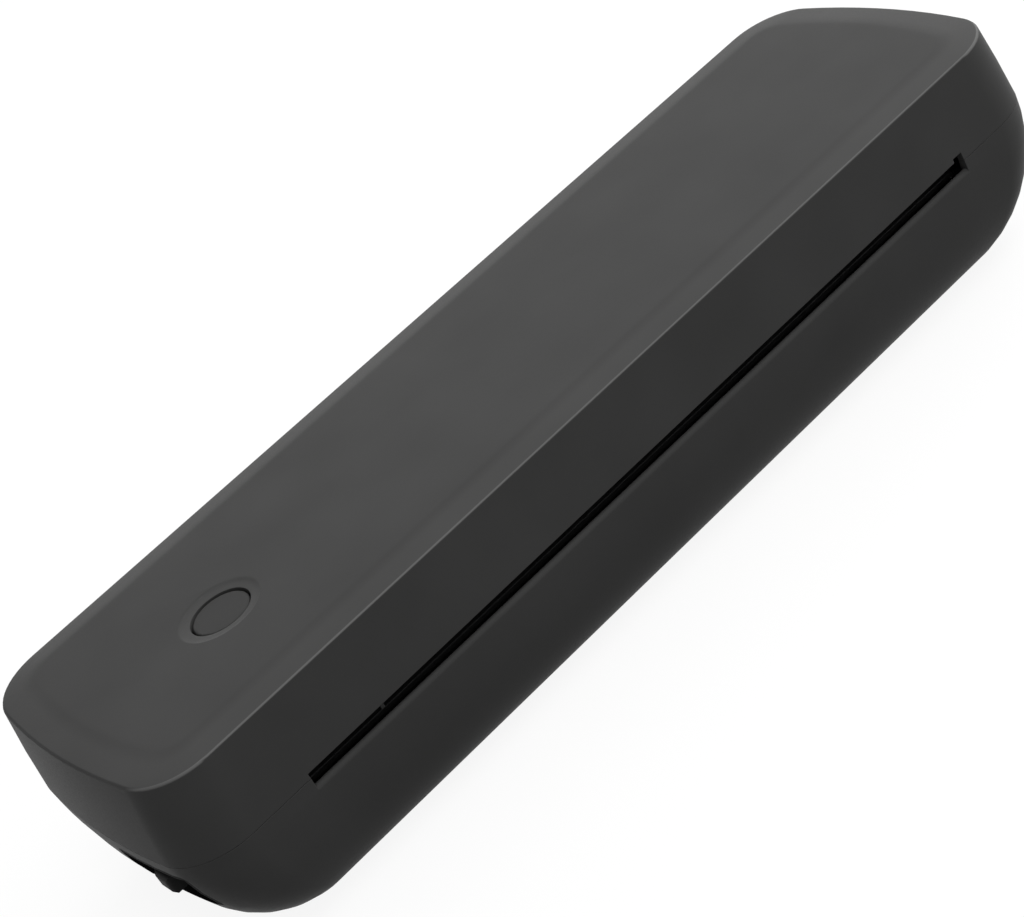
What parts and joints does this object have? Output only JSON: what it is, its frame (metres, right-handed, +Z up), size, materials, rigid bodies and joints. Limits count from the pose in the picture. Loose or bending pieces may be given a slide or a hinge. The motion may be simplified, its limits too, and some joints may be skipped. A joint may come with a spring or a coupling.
{
  "type": "portable thermal printer",
  "caption": "Slim portable thermal printer: hinged cover with platen roller over a paper bay, front paper slot, round power button and end release knob.",
  "frame": {"origin": "centre of the footprint, on the surface that the rubber feet stand on", "axes": "+X along the body, -Y towards the paper slot, +Z up"},
  "size_m": [0.2842, 0.0868, 0.0577],
  "materials": {
    "body_plastic": "charcoal moulded plastic with a fine matt texture",
    "button_plastic": "charcoal moulded plastic, a little smoother than the body",
    "steel": "ground steel",
    "circuit_board": "green solder mask",
    "switch_plastic": "black switch body",
    "inner_plastic": "black moulded plastic inside the case",
    "bush_plastic": "natural acetal",
    "platen_rubber": "ground black rubber",
    "gear_plastic": "natural acetal gear",
    "brass": "machined brass",
    "motor_can": "dark plated motor can",
    "zinc_steel": "zinc plated sheet steel",
    "heat_sink": "black anodised aluminium extrusion",
    "head_ceramic": "glazed alumina",
    "spring_steel": "spring steel",
    "battery_wrap": "blue shrink wrap",
    "chip_plastic": "black moulded components",
    "panel_plastic": "black port panel",
    "knob_plastic": "black release knob",
    "foot_rubber": "black rubber"
  },
  "bodies": {
    "base": {"base_shell": "body_plastic", "hinge_pins": "steel", "chassis": "zinc_steel", "paper_tray": "inner_plastic", "battery_pack": "battery_wrap", "main_board": "circuit_board", "board_components": "chip_plastic", "motor": "motor_can", "gear_pins": "steel", "latch_pins": "steel", "head_springs": "spring_steel", "port_panel": "panel_plastic", "usb_port": "steel", "port_board": "circuit_board", "rubber_feet": "foot_rubber"},
    "cover": {"cover_shell": "body_plastic", "platen_carrier": "inner_plastic", "platen_bushes": "bush_plastic", "tear_bar": "steel", "button_board": "circuit_board", "button_switch": "switch_plastic"},
    "power_button": {"power_button": "button_plastic"},
    "platen": {"platen_shaft": "steel", "platen_roller": "platen_rubber", "platen_gear": "gear_plastic"},
    "idler": {"idler_gear": "gear_plastic"},
    "compound": {"compound_gear": "gear_plastic"},
    "pinion": {"motor_pinion": "brass"},
    "print_head": {"print_head": "heat_sink", "head_ceramic": "head_ceramic", "head_board": "circuit_board"},
    "latch": {"latch_bar": "zinc_steel", "release_knob": "knob_plastic"}
  },
  "joints": [
    {"name": "cover_hinge", "type": "hinge", "parent": "base", "child": "cover", "pos_m": [0, 0.0416, 0.035], "axis": [-1, 0, 0], "range_deg": [0, 85]},
    {"name": "button_press", "type": "slide", "parent": "cover", "child": "power_button", "axis": [0, 0, -1], "range_m": [0, 0.0006], "stiffness_N_per_m": 800, "springref_m": -0.0005},
    {"name": "platen_spin", "type": "hinge", "parent": "cover", "child": "platen", "pos_m": [0.0014, -0.026, 0.042], "axis": [1, 0, 0], "continuous": true},
    {"name": "idler_spin", "type": "hinge", "parent": "base", "child": "idler", "pos_m": [0.1196, -0.02, 0.02695], "axis": [1, 0, 0], "continuous": true},
    {"name": "compound_spin", "type": "hinge", "parent": "base", "child": "compound", "pos_m": [0.1196, -0.01021, 0.02055], "axis": [1, 0, 0], "continuous": true},
    {"name": "pinion_spin", "type": "hinge", "parent": "base", "child": "pinion", "pos_m": [0.1196, -0.022, 0.013], "axis": [1, 0, 0], "continuous": true},
    {"name": "head_tilt", "type": "hinge", "parent": "base", "child": "print_head", "pos_m": [0.0014, -0.0145, 0.03], "axis": [1, 0, 0], "range_deg": [0, 2], "stiffness_Nm_per_rad": 4, "springref_deg": -2.86, "deforming": ["head_springs"]},
    {"name": "latch_turn", "type": "hinge", "parent": "base", "child": "latch", "pos_m": [0, -0.029, 0.0125], "axis": [1, 0, 0], "range_deg": [0, 8], "stiffness_Nm_per_rad": 0.15, "springref_deg": -17.19}
  ],
  "couplings": [
    {"joint": "idler_spin", "follows": "platen_spin", "ratio": -1.25},
    {"joint": "compound_spin", "follows": "platen_spin", "ratio": 2},
    {"joint": "pinion_spin", "follows": "platen_spin", "ratio": -7.3333}
  ]
}
